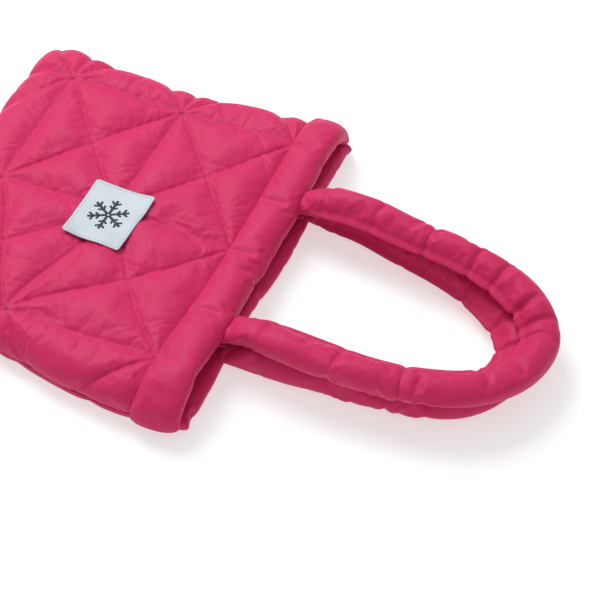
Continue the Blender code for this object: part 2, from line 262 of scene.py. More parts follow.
def smooth_rise(value, start, end):
    """0 before start, 1 after end, and a smooth rise between them."""
    t = np.clip((value - start) / (end - start), 0.0, 1.0)
    return t * t * (3.0 - 2.0 * t)


def outline(x, side):
    """Half the bag's width at x: the near side spreads towards the mouth, the far side hardly."""
    share = (x - BOTTOM_X) / (MOUTH_X - BOTTOM_X)
    near = 0.156 + 0.021 * smooth_rise(share, 0.28, 0.80)
    far = 0.168 - 0.012 * smooth_rise(share, 0.0, 0.34) + 0.006 * smooth_rise(share, 0.50, 0.88)
    return np.where(side < 0.0, near, far)


def channel_x(y):
    """Where the hem's channel seam runs."""
    return MOUTH_X - CHANNEL_SETBACK - 0.004 * smooth_rise(-y, 0.03, 0.15)


def quilt_place(x, y):
    """Place on the quilting, in squares from the channel seam and from the far row."""
    y = y * outline(x, y) / HALF_WIDTH
    across = (FAR_ROW_Y - y) / CELL_WIDTH
    along = (channel_x(y) - x) / CELL_LENGTH
    return along - SLIP * smooth_rise(across, 1.0, 2.0) * np.clip(along, 0.0, 1.0), across


def quilt_distance(x, y, line):
    """Signed distance to the nearest seam of one family, and the direction straight across it."""
    step = 1e-5

    def value(px, py):
        along, across = quilt_place(px, py)
        return line[0] * along + line[1] * across

    here = value(x, y)
    slope = np.stack([value(x + step, y) - here, value(x, y + step) - here], -1) / step
    size = np.linalg.norm(slope, axis=-1)
    return (here - np.round(here)) / size, slope / size[..., None]


def quilt_depth(x, y):
    """0 on a seam, rising to 1 in the middle of a pad."""
    nearest = np.full(np.shape(x), 1.0)
    for line in QUILT_LINES:
        nearest = np.minimum(nearest, np.abs(quilt_distance(x, y, line)[0]))
    return 1.0 - np.exp(-nearest / QUILT_TURN)


def side_turn(width, rise):
    """The turn from a side seam up to the top: distance along it, distance in, share of the rise."""
    angles = np.linspace(SIDE_TUCK, math.pi / 2, 60)
    inward = width * (1.0 - np.cos(angles))
    share = (np.sin(angles) - math.sin(SIDE_TUCK)) / (1.0 - math.sin(SIDE_TUCK))
    steps = np.hypot(np.diff(inward), np.diff(share) * rise)
    return np.concatenate([[0.0], np.cumsum(steps)]), inward, share


def drape(flat_x, flat_y, turn, half_width, bottom_x, seam_z, top_z):
    """Lays a flat cloth over the bag: flat on top, turned down at the bottom and both sides."""
    travel, inward, share = turn
    width = inward[-1]
    from_bottom = flat_x - (bottom_x + width) + travel[-1]
    from_side = half_width - width + travel[-1] - np.abs(flat_y)
    x = np.where(from_bottom < travel[-1], bottom_x + np.interp(from_bottom, travel, inward), flat_x)
    tucked = np.interp(from_side, travel, inward)
    reach = half_width - np.where(from_side < travel[-1], tucked, half_width - np.abs(flat_y))
    into = np.clip(PANEL_CORNER - (x - bottom_x), 0.0, PANEL_CORNER)
    reach = reach * (half_width - PANEL_CORNER + np.sqrt(PANEL_CORNER**2 - into**2)) / half_width
    height = np.interp(from_bottom, travel, share) * np.interp(from_side, travel, share)
    y = np.sign(flat_y) * reach * outline(x, flat_y) / HALF_WIDTH
    return np.stack([x, y, seam_z + (top_z - seam_z) * height], -1)


def flat_cloth(turn, half_width, bottom_x, end_x, spacing):
    """An even grid of points on a panel's cloth before it is draped."""
    spare = turn[0][-1] - turn[1][-1]
    length = end_x - bottom_x + spare
    width = 2.0 * (half_width + spare)
    rows = round(length / spacing) + 1
    columns = round(width / spacing) + 1
    along = np.linspace(bottom_x - spare, end_x, rows)
    across = np.linspace(-width / 2, width / 2, columns)
    return np.meshgrid(along, across, indexing="ij")


def shift_to_seams(flat_x, flat_y, spacing):
    """Moves the points next to a quilting seam onto it, where that leaves room between them."""
    inner = np.zeros(flat_x.shape, bool)
    inner[1:-1, 1:-1] = True
    even_x, even_y = flat_x, flat_y
    for _ in range(3):
        best = np.full(flat_x.shape, 1.0)
        move = np.zeros(flat_x.shape + (2,))
        for line in QUILT_LINES:
            distance, direction = quilt_distance(flat_x, flat_y, line)
            closer = np.abs(distance) < best
            best = np.where(closer, np.abs(distance), best)
            move[closer] = (-distance[..., None] * direction)[closer]
        move = np.where(((best < 0.55 * spacing) & inner)[..., None], move, 0.0)
        flat_x = flat_x + move[..., 0]
        flat_y = flat_y + move[..., 1]
    for _ in range(3):
        crowded = np.zeros(flat_x.shape, bool)
        for axis in (0, 1):
            gap = np.hypot(np.diff(flat_x, axis=axis), np.diff(flat_y, axis=axis))
            short = np.pad(gap < 0.4 * spacing, [(0, 1), (0, 0)] if axis == 0 else [(0, 0), (0, 1)])
            crowded |= short | np.roll(short, 1, axis=axis)
        flat_x = np.where(crowded, even_x, flat_x)
        flat_y = np.where(crowded, even_y, flat_y)
    held = np.zeros(flat_x.shape, bool)
    for line in QUILT_LINES:
        held |= np.abs(quilt_distance(flat_x, flat_y, line)[0]) < 0.1 * spacing
    return flat_x, flat_y, held


def grid_normals(points):
    """Unit normals of a grid of points."""
    normals = np.cross(np.gradient(points, axis=0), np.gradient(points, axis=1))
    return normals / np.maximum(np.linalg.norm(normals, axis=-1, keepdims=True), 1e-12)


def grid_faces(rows, columns, closed=False, start=0, flip=False):
    """Faces of a grid of points; closed when its columns run round."""
    faces = []
    for i in range(rows - 1):
        for j in range(columns if closed else columns - 1):
            k = (j + 1) % columns
            face = (i * columns + j, (i + 1) * columns + j, (i + 1) * columns + k, i * columns + k)
            faces.append(tuple(start + v for v in (face[::-1] if flip else face)))
    return faces


def new_piece(name, points, faces, material=None):
    """A smooth-shaded object in the scene, made of these points and faces."""
    mesh = bpy.data.meshes.new(name)
    mesh.from_pydata(np.reshape(points, (-1, 3)).tolist(), [], faces)
    mesh.shade_smooth()
    if material:
        mesh.materials.append(material)
    piece = bpy.data.objects.new(name, mesh)
    bpy.context.scene.collection.objects.link(piece)
    return piece


def mesh_points(mesh):
    points = np.empty(len(mesh.vertices) * 3)
    mesh.vertices.foreach_get("co", points)
    return points.reshape(-1, 3)


def swell(name, points, faces, held, pressure, slack, cap, bending=0.3, frames=20):
    """Lets a stuffed cloth swell against its stitching; slack is the share of spare cloth in it."""
    rest = np.reshape(points, (-1, 3))
    piece = new_piece(name, rest, faces)
    stitched = piece.vertex_groups.new(name="stitched")
    stitched.add([int(i) for i in np.flatnonzero(held)], 1.0, "REPLACE")
    modifier = piece.modifiers.new("cloth", "CLOTH")
    cloth = modifier.settings
    cloth.quality = 5
    cloth.mass = 0.15
    cloth.tension_stiffness = 12.0
    cloth.compression_stiffness = 8.0
    cloth.shear_stiffness = 4.0
    cloth.bending_stiffness = bending
    cloth.air_damping = 2.0
    cloth.shrink_min = -slack
    cloth.use_pressure = True
    cloth.uniform_pressure_force = pressure
    cloth.vertex_group_mass = "stitched"
    cloth.effector_weights.gravity = 0.0
    modifier.collision_settings.use_collision = False
    modifier.point_cache.frame_start = 1
    modifier.point_cache.frame_end = frames
    for number in range(1, frames + 1):
        bpy.context.scene.frame_set(number)
    settled = piece.evaluated_get(bpy.context.evaluated_depsgraph_get())
    shift = mesh_points(settled.data) - rest
    bpy.data.objects.remove(piece)
    bpy.context.scene.frame_set(1)
    size = np.linalg.norm(shift, axis=1, keepdims=True)
    return rest + shift * np.minimum(size, cap) / np.maximum(size, 1e-9)


def settle(piece, thickness=0.0, levels=1):
    """Smooths a piece, gives it its cloth's thickness, and leaves it a plain mesh."""
    if levels:
        piece.modifiers.new("smooth", "SUBSURF").levels = levels
    if thickness:
        wall = piece.modifiers.new("thickness", "SOLIDIFY")
        wall.thickness = thickness
        wall.offset = -1.0
    shown = piece.evaluated_get(bpy.context.evaluated_depsgraph_get())
    mesh = bpy.data.meshes.new_from_object(shown)
    piece.modifiers.clear()
    piece.data = mesh
    mesh.shade_smooth()
    return piece


def loft(upper, lower):
    """Points and faces of the solid between two grids of the same shape."""
    rows, columns = upper.shape[:2]
    count = rows * columns
    faces = grid_faces(rows, columns) + grid_faces(rows, columns, start=count, flip=True)
    index = np.arange(count).reshape(rows, columns)
    rim = np.concatenate([index[0, :-1], index[:-1, -1], index[-1, :0:-1], index[:0:-1, 0]])
    for a, b in zip(rim, np.roll(rim, -1)):
        faces.append((int(a), int(b), int(b) + count, int(a) + count))
    return np.concatenate([upper.reshape(-1, 3), lower.reshape(-1, 3)]), faces


def across_mouth_hinge(piece):
    """Bakes a piece's placement into its points, so it stays where it was built."""
    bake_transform(piece)


front_turn = side_turn(SIDE_TURN, FRONT_SEAM_Z - SIDE_SEAM_Z)
flat_x, flat_y = flat_cloth(front_turn, HALF_WIDTH, BOTTOM_X, MOUTH_X - CHANNEL_SETBACK, FRONT_GRID)
pull = smooth_rise(flat_x, MOUTH_X - 0.09, MOUTH_X - CHANNEL_SETBACK)
flat_x = flat_x + pull * (channel_x(flat_y) - (MOUTH_X - CHANNEL_SETBACK))
flat_x, flat_y, held = shift_to_seams(flat_x, flat_y, FRONT_GRID)
held[[0, -1], :] = True
held[:, [0, -1]] = True


def front_surface(flat_x, flat_y):
    """The front panel's cloth where it is stitched down."""
    points = drape(flat_x, flat_y, front_turn, HALF_WIDTH, BOTTOM_X, SIDE_SEAM_Z, FRONT_SEAM_Z)
    lifted = smooth_rise(points[..., 2], SIDE_SEAM_Z, FRONT_SEAM_Z)
    sag = 0.0016 * np.sin(flat_x * 31.0 + 1.0) * np.cos(flat_y * 23.0)
    dip = CHANNEL_DIP * np.exp(-np.clip(channel_x(flat_y) - flat_x, 0.0, None) / 0.008)
    points[..., 2] += (sag - dip) * lifted
    return points


stitched = front_surface(flat_x, flat_y)
depth = quilt_depth(flat_x, flat_y)
depth[[0, -1], :] = 0.0
depth[:, [0, -1]] = 0.0
depth = depth * (0.35 + 0.65 * smooth_rise(stitched[..., 2], SIDE_SEAM_Z, FRONT_SEAM_Z))
padded = stitched + grid_normals(stitched) * (QUILT_DEPTH * depth)[..., None]
front_faces = grid_faces(*flat_x.shape)
front_cloth = swell(
    "front_shell_cloth", padded, front_faces, held.ravel(), STUFFING_PRESSURE, 0.026, 0.012, bending=0.12
).reshape(padded.shape)
front_shell = new_piece("front_shell_cloth", front_cloth, front_faces, shell_cloth)
settle(front_shell, CLOTH_THICKNESS)
across_mouth_hinge(front_shell)
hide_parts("front_shell")


# ---- Front wadding and lining -------------------------------------------------------------
# Thick white polyester wadding fills the space under the shell cloth. A lining of the same
# nylon, a little slack, closes it on the inside of the bag.

WADDING_GAP = 0.0004
LINING_THICKNESS = 0.0005
LINING_INSET = 0.006
LINING_SEAM_Z = 0.0125


def fleece(name):
    """Bonded polyester wadding: white, matt and fibrous."""
    finish = Finish(name, Roughness=0.95, Specular_IOR_Level=0.15, Sheen_Weight=0.3)
    clump = finish.noise(120.0, 3.0)
    fibre = finish.noise(1500.0, 2.0, (1.0, 0.25, 1.0))
    finish.set(
        Base_Color=finish.mix(clump, (0.74, 0.74, 0.72, 1.0), (0.86, 0.86, 0.84, 1.0)),
        Normal=finish.bump(fibre, 0.0003, 0.8, finish.bump(clump, 0.0015, 0.6)),
    )
    return finish.material


wadding_fleece = fleece("white_wadding")
lining_nylon = nylon("pink_lining", (0.520, 0.035, 0.100, 1.0), (0.450, 0.026, 0.080, 1.0), 0.56)


def lining_sheet(turn, flat_x, flat_y, seam_z, top_z, wave):
    """The lining's grid of points, wavy by wave."""
    points = drape(flat_x, flat_y, turn, HALF_WIDTH, BOTTOM_X, seam_z, top_z)
    points[..., 1] *= 1.0 - LINING_INSET / HALF_WIDTH
    points[..., 0] += LINING_INSET * (1.0 - smooth_rise(points[..., 0], BOTTOM_X, BOTTOM_X + 0.05))
    along_wave = np.sin(flat_x * 95.0 + 4.0 * np.sin(flat_y * 21.0))
    points[..., 2] += wave * along_wave * np.sin(flat_y * 61.0 + 1.7)
    return points


front_lining_points = lining_sheet(
    front_turn, flat_x, flat_y, LINING_SEAM_Z, FRONT_LINING_Z - 0.0012, 0.0005
)
wadding_points, wadding_faces = loft(
    front_cloth - grid_normals(front_cloth) * (CLOTH_THICKNESS + WADDING_GAP),
    front_lining_points + grid_normals(front_lining_points) * WADDING_GAP,
)
front_wadding = new_piece("front_wadding_fleece", wadding_points, wadding_faces, wadding_fleece)
across_mouth_hinge(front_wadding)
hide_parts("front_wadding")

front_lining = new_piece("front_lining_cloth", front_lining_points, front_faces, lining_nylon)
settle(front_lining, LINING_THICKNESS, 0)
across_mouth_hinge(front_lining)
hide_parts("front_lining")


# ---- Front hem ----------------------------------------------------------------------------
# The front panel's cloth goes round a roll of wadding at the mouth and back to the channel
# seam. At both sides the roll thins and turns down to the side seam.

HEM_GRID = 0.0021
HEM_OVERLAP = 0.0017  # how far the roll bulges over the channel seam
HEM_HALF_HEIGHT = 0.0112
HEM_END_HALF_HEIGHT = 0.0055
HEM_LIFT = -0.0010  # the roll's middle above the channel seam
HEM_UNDERSIDE_Z = 0.0230
HEM_SHARE = 0.970  # share of the cloth's width that the roll fills
HEM_END_OUT = 0.0058  # the ends stand out past the panel's sides
HEM_END_PULL = 0.003  # but their mouth edge is drawn in by the side seams
HEM_FLAT_REACH = 0.136  # the underside is flat between these, where the tabs and snap are sewn
HEM_PUCKERS = ((0.123, 0.0018), (0.052, 0.0012), (-0.012, 0.0026), (-0.078, 0.0012), (-0.132, 0.0014))
HEM_CAP_RINGS = ((0.96, 0.0012), (0.82, 0.0030), (0.52, 0.0042), (0.16, 0.0046))


def capped(rings):
    """Adds rounded ends to a run of rings by shrinking copies of the first and last."""
    def end(ring, outward):
        middle = ring.mean(axis=0)
        return [middle + (ring - middle) * share + outward * reach for share, reach in HEM_CAP_RINGS]

    first = rings[0].mean(axis=0) - rings[1].mean(axis=0)
    last = rings[-1].mean(axis=0) - rings[-2].mean(axis=0)
    head = end(rings[0], first / np.linalg.norm(first))[::-1]
    tail = end(rings[-1], last / np.linalg.norm(last))
    return np.stack(head + list(rings) + tail)


def tube_faces(rows, columns):
    """Faces of a closed tube of rings, with its two ends filled."""
    faces = grid_faces(rows, columns, closed=True)
    faces.append(tuple(range(columns)))
    faces.append(tuple(range(rows * columns - 1, (rows - 1) * columns - 1, -1)))
    return faces


edge_columns = HEM_SHARE * np.linspace(flat_y[0, 0], flat_y[0, -1], round(np.ptp(flat_y[0]) / HEM_GRID))
edge_x = channel_x(edge_columns)
edge = front_surface(edge_x, edge_columns)
beside = front_surface(edge_x - 0.004, edge_columns)
along_edge = np.gradient(edge, axis=0)
outward = np.cross(along_edge, beside - edge)
outward /= np.linalg.norm(outward, axis=-1, keepdims=True)
lifted = smooth_rise(edge[:, 2], SIDE_SEAM_Z + 0.002, FRONT_SEAM_Z - 0.004)
half_height = HEM_END_HALF_HEIGHT + (HEM_HALF_HEIGHT - HEM_END_HALF_HEIGHT) * lifted
angles = np.linspace(0.0, 2.0 * math.pi, 44, endpoint=False)
sections = np.sign(np.cos(angles)) * np.abs(np.cos(angles)) ** 0.86
rises = np.sign(np.sin(angles)) * np.abs(np.sin(angles)) ** 0.86
hem_rings = []
for place, normal, half, share, flat_place in zip(edge, outward, half_height, lifted, edge_columns):
    half_width = 0.5 * (MOUTH_X - channel_x(flat_place)) + HEM_OVERLAP
    middle = np.array([MOUTH_X + 0.0005 - half_width, place[1], place[2]])
    middle = middle + normal * (HEM_LIFT + HEM_END_OUT * (1.0 - share))
    pucker = sum(depth * math.exp(-(((flat_place - y) / 0.006) ** 2)) for y, depth in HEM_PUCKERS)
    narrowed = 1.0 - pucker / HEM_HALF_HEIGHT * np.clip(-np.cos(angles) + 0.4, 0.0, 1.0)
    ring = (
        middle
        + np.outer(half_width * sections, (1.0, 0.0, 0.0))
        + np.outer(half * rises * narrowed, normal)
    )
    pulled_in = HEM_END_PULL * (1.0 - share) * (0.5 + 0.5 * np.cos(angles))
    hem_rings.append(ring - np.outer(pulled_in, normal))
hem_rings = capped(np.stack(hem_rings))
hem_rows, hem_columns = hem_rings.shape[:2]
hem_held = np.zeros((hem_rows, hem_columns), bool)
hem_held[:, hem_columns // 2 + 2] = True
hem_held[:, hem_columns // 2 - 2] = True
hem_held[:3] = hem_held[-3:] = True
hem_faces = tube_faces(hem_rows, hem_columns)
hem_cloth = swell(
    "front_hem_cloth", hem_rings, hem_faces, hem_held.ravel(), STUFFING_PRESSURE, 0.03, 0.003
).reshape(hem_rings.shape)
flat_under = np.abs(hem_cloth[..., 1]) < HEM_FLAT_REACH
hem_cloth[..., 2] = np.where(flat_under, np.maximum(hem_cloth[..., 2], HEM_UNDERSIDE_Z), hem_cloth[..., 2])
hem_cloth[..., 2] = np.maximum(hem_cloth[..., 2], 0.0008)


def stuffed_roll(name, cloth, rings, fill, replaced, rider):
    """The cloth cover of a roll, and its wadding, which fills that share of the unswollen rings."""
    rows, columns = cloth.shape[:2]
    cover = new_piece(name + "_cloth", cloth, tube_faces(rows, columns), shell_cloth)
    settle(cover)
    rider(cover)
    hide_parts(replaced[0])
    middle = rings.mean(axis=1, keepdims=True)
    filling = (middle + (rings - middle) * fill)[3:-3]
    core = new_piece(name + "_fleece", filling, tube_faces(rows - 6, columns), wadding_fleece)
    rider(core)
    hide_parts(replaced[1])
    return cover


front_hem_nodes = ("front_hem_cover", "front_hem_wadding")
stuffed_roll("front_hem", hem_cloth, hem_rings, 0.72, front_hem_nodes, across_mouth_hinge)


# ---- Back panel ---------------------------------------------------------------------------
# The underside of the bag is quilted like the front, but the bag's weight presses its pads
# flat. Only a thin band of it shows below the side seams.

BACK_GRID = 0.0034
BACK_TURN = 0.016
BACK_SEAM_LIFT = 0.0030

BACK_LINING_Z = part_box("back_lining")[1].z
back_turn = side_turn(BACK_TURN, SIDE_SEAM_Z - BACK_SEAM_LIFT)
back_x, back_y = flat_cloth(back_turn, HALF_WIDTH, BOTTOM_X, MOUTH_X - CHANNEL_SETBACK, BACK_GRID)
back_rows, back_columns = back_x.shape
back_points = drape(back_x, back_y, back_turn, HALF_WIDTH, BOTTOM_X, 0.0, SIDE_SEAM_Z - BACK_SEAM_LIFT)
back_points[..., 2] = SIDE_SEAM_Z - back_points[..., 2]
back_depth = quilt_depth(back_x, back_y)
back_depth[:, [0, -1]] = 0.0
back_depth[0] = 0.0
lower = back_points - np.array([0.0, 0.0, 1.0]) * (BACK_SEAM_LIFT * 1.6 * back_depth)[..., None]
lower[..., 2] = np.maximum(lower[..., 2], 0.0004)
back_shell = new_piece(
    "back_shell_cloth", lower, grid_faces(back_rows, back_columns, flip=True), shell_cloth
)
settle(back_shell, CLOTH_THICKNESS)
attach(back_shell, "back")
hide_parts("back_shell")

back_lining_points = lining_sheet(
    back_turn, back_x, back_y, SIDE_SEAM_Z + 0.0008, BACK_LINING_Z - 0.0006, 0.0005
)
back_wadding_points, back_wadding_faces = loft(
    back_lining_points - grid_normals(back_lining_points) * (LINING_THICKNESS + WADDING_GAP),
    lower + grid_normals(lower) * (CLOTH_THICKNESS + WADDING_GAP + 0.0004),
)
back_wadding = new_piece("back_wadding_fleece", back_wadding_points, back_wadding_faces, wadding_fleece)
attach(back_wadding, "back")
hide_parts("back_wadding")

back_lining = new_piece(
    "back_lining_cloth", back_lining_points, grid_faces(back_rows, back_columns), lining_nylon
)
settle(back_lining, LINING_THICKNESS)
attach(back_lining, "back")
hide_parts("back_lining")


# ---- Back hem -----------------------------------------------------------------------------
# The back hem is a flatter roll with less wadding. It lies on the table at the mouth.

back_hem_low, back_hem_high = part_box("back_hem_cover")
BACK_HEM_NEAR = -0.168
BACK_HEM_FAR = 0.164
BACK_HEM_Z = 0.5 * (back_hem_low.z + back_hem_high.z)
BACK_HEM_HALF_HEIGHT = 0.5 * (back_hem_high.z - back_hem_low.z) - 0.0004
BACK_HEM_HALF_WIDTH = 0.0180

hem_places = np.linspace(BACK_HEM_NEAR, BACK_HEM_FAR, round((BACK_HEM_FAR - BACK_HEM_NEAR) / HEM_GRID))
hem_angles = np.linspace(0.0, 2.0 * math.pi, 36, endpoint=False)
back_hem_rings = []
for place in hem_places:
    bow = 0.0034 + 0.0010 * math.sin(place * 37.0 + 0.6)
    middle = np.array([MOUTH_X + bow - BACK_HEM_HALF_WIDTH, place, BACK_HEM_Z])
    wide = BACK_HEM_HALF_WIDTH * np.sign(np.cos(hem_angles)) * np.abs(np.cos(hem_angles)) ** 0.8
    tall = BACK_HEM_HALF_HEIGHT * np.sin(hem_angles)
    back_hem_rings.append(middle + np.outer(wide, (1.0, 0.0, 0.0)) + np.outer(tall, (0.0, 0.0, 1.0)))
back_hem_rings = capped(np.stack(back_hem_rings))
back_hem_held = np.zeros(back_hem_rings.shape[:2], bool)
back_hem_held[:, 18] = True
back_hem_held[:3] = back_hem_held[-3:] = True
back_hem_cloth = swell(
    "back_hem_cloth",
    back_hem_rings,
    tube_faces(*back_hem_rings.shape[:2]),
    back_hem_held.ravel(),
    3.0,
    0.03,
    0.003,
).reshape(back_hem_rings.shape)
back_hem_cloth[..., 2] = np.clip(back_hem_cloth[..., 2], 0.0004, 0.0131)
stuffed_roll(
    "back_hem",
    back_hem_cloth,
    back_hem_rings,
    0.76,
    ("back_hem_cover", "back_hem_wadding"),
    lambda piece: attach(piece, "back"),
)


# ---- Bindings -----------------------------------------------------------------------------
# A folded polyester tape covers the cut edges of the side seams and the bottom seam, inside
# the bag.

BINDING_HALF_WIDTH = 0.0036
BINDING_HALF_HEIGHT = 0.0009
BINDING_INSET = 0.0085
BINDING_STEPS = 60
BOTTOM_BINDING_REACH = 0.138


def woven_tape(name):
    """Grosgrain tape: close ribs across its length."""
    finish = Finish(name, Roughness=0.75, Sheen_Weight=0.15, Specular_IOR_Level=0.3)
    along = finish.node("ShaderNodeSeparateXYZ", {}, {"Vector": finish.place()})
    across = finish.node("ShaderNodeSeparateXYZ", {}, {"Vector": finish.place()}, 1)
    ribs = ((along + across) * 5200.0).math("SINE")
    drift = finish.noise(40.0, 2.0)
    finish.set(
        Base_Color=finish.mix(drift, (0.50, 0.030, 0.085, 1.0), (0.58, 0.040, 0.105, 1.0)),
        Normal=finish.bump(ribs, 0.0001, 0.7),
    )
    return finish.material


tape = woven_tape("pink_tape")


def taped_edge(name, line, node):
    """A folded tape along a line of points."""
    line = np.asarray(line)
    run = np.gradient(line, axis=0)
    run /= np.linalg.norm(run, axis=-1, keepdims=True)
    side = np.cross(run, (0.0, 0.0, 1.0))
    turns = np.linspace(0.0, 2.0 * math.pi, 12, endpoint=False)
    rings = (
        line[:, None]
        + side[:, None] * (BINDING_HALF_WIDTH * np.cos(turns))[None, :, None]
        + np.array([0.0, 0.0, 1.0]) * (BINDING_HALF_HEIGHT * np.sin(turns))[None, :, None]
    )
    binding = new_piece(name, rings, tube_faces(len(line), 12), tape)
    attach(binding, "back")
    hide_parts(node)


binding_low, binding_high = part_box("side_binding_far")
binding_z = 0.5 * (binding_low.z + binding_high.z)
side_run = np.linspace(binding_low.x, binding_high.x, BINDING_STEPS)
for side, name in ((1.0, "far"), (-1.0, "near")):
    reach = outline(side_run, side) * (HALF_WIDTH - BINDING_INSET) / HALF_WIDTH
    line = np.stack([side_run, side * reach, np.full(BINDING_STEPS, binding_z)], -1)
    taped_edge(f"side_binding_{name}_tape", line, f"side_binding_{name}")
bottom_low, bottom_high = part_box("bottom_binding")
bottom_run = np.linspace(-BOTTOM_BINDING_REACH, BOTTOM_BINDING_REACH, BINDING_STEPS)
bottom_line = np.zeros((BINDING_STEPS, 3))
bottom_line[:] = (0.5 * (bottom_low.x + bottom_high.x), 0.0, binding_z)
bottom_line[:, 1] = bottom_run
taped_edge("bottom_binding_tape", bottom_line, "bottom_binding")


# ---- Handles ------------------------------------------------------------------------------
# Each handle is a long tube of the shell cloth, stuffed with a round cord of wadding. It is
# made of three lengths joined end to end, and its long seam lies on the inner side of the loop.

HANDLE_RADIUS = 0.0128
HANDLE_GRID = 0.0021
HANDLE_COLUMNS = 38
ROOT_RUN = 0.030  # length over which an end flattens into the hem
LIP_REACH = 0.0080  # how far the long seam's folded edge stands out
LIP_DROP = 0.0010
CORE_SHARE = 0.76
STACKED = 0.0397
LYING = 0.0128
ROUTES = {
    "front": (
        (-0.001, 0.068, 0.0305),
        (0.022, 0.0675, 0.0370),
        (0.048, 0.0665, STACKED),
        (0.095, 0.0605, STACKED),
        (0.140, 0.0545, STACKED),
        (0.180, 0.0430, 0.0385),
        (0.211, 0.0265, 0.0335),
        (0.227, 0.0065, 0.0285),
        (0.229, -0.018, 0.0290),
        (0.218, -0.048, 0.0330),
        (0.192, -0.074, 0.0375),
        (0.155, -0.089, STACKED),
        (0.119, -0.093, STACKED),
        (0.079, -0.092, STACKED),
        (0.045, -0.090, STACKED),
        (0.022, -0.087, 0.0370),
        (-0.001, -0.084, 0.0305),
    ),
    "back": (
        (0.000, 0.078, LYING),
        (0.045, 0.077, LYING),
        (0.087, 0.067, LYING),
        (0.125, 0.058, LYING),
        (0.157, 0.046, LYING),
        (0.185, 0.030, LYING),
        (0.206, 0.009, LYING),
        (0.213, -0.018, LYING),
        (0.204, -0.046, LYING),
        (0.184, -0.068, LYING),
        (0.152, -0.080, LYING),
        (0.123, -0.083, LYING),
        (0.085, -0.086, LYING),
        (0.045, -0.088, LYING),
        (0.000, -0.088, LYING),
    ),
}
HANDLE_FOLDS = {  # share of the length, turn round the tube, depth of each crease
    "front": (
        (0.045, 1.2, 0.0020),
        (0.130, 0.9, 0.0012),
        (0.300, 0.7, 0.0025),
        (0.345, 0.9, 0.0030),
        (0.405, 0.8, 0.0050),
        (0.440, 1.2, 0.0035),
        (0.470, 0.8, 0.0022),
        (0.545, 0.6, 0.0022),
        (0.600, 0.5, 0.0026),
        (0.820, 1.0, 0.0016),
        (0.930, 1.3, 0.0022),
    ),
    "back": (
        (0.060, 0.9, 0.0018),
        (0.200, 0.8, 0.0012),
        (0.420, 0.8, 0.0030),
        (0.480, 0.9, 0.0035),
        (0.560, 0.8, 0.0025),
        (0.800, 0.8, 0.0014),
    ),
}
COVER_JOINS = {"front": (0.118, 0.150), "back": (0.165, 0.135)}  # from the far and near ends


def smooth_line(route, spacing):
    """Points at even spacing on a smooth curve through a route."""
    route = np.array(route)
    ends = np.concatenate([[2 * route[0] - route[1]], route, [2 * route[-1] - route[-2]]])
    line = []
    for a, b, c, d in zip(ends, ends[1:], ends[2:], ends[3:]):
        for t in np.linspace(0.0, 1.0, 24, endpoint=False):
            bend = (2 * a - 5 * b + 4 * c - d) * t**2 + (3 * b - 3 * c + d - a) * t**3
            line.append(0.5 * (2 * b + (c - a) * t + bend))
    line = np.array(line + [route[-1]])
    travelled = np.concatenate([[0.0], np.cumsum(np.linalg.norm(np.diff(line, axis=0), axis=1))])
    places = np.linspace(0.0, travelled[-1], round(travelled[-1] / spacing) + 1)
    return np.stack([np.interp(places, travelled, line[:, k]) for k in range(3)], -1), places


def joined(rings, at_start, at_end):
    """Turns a stretch's cut ends in, so that it meets the next one in a narrow groove."""
    def turned_in(ring, beside):
        middle = ring.mean(axis=0)
        edge = middle + (ring - middle) * 0.985
        close = edge + (beside - ring) * 0.10
        return [middle + (ring - middle) * 0.55, middle + (ring - middle) * 0.92, edge, close]

    head = turned_in(rings[0], rings[1]) if at_start else [rings[0]]
    tail = turned_in(rings[-1], rings[-2])[::-1] if at_end else [rings[-1]]
    return np.stack(head + list(rings[1:-1]) + tail)


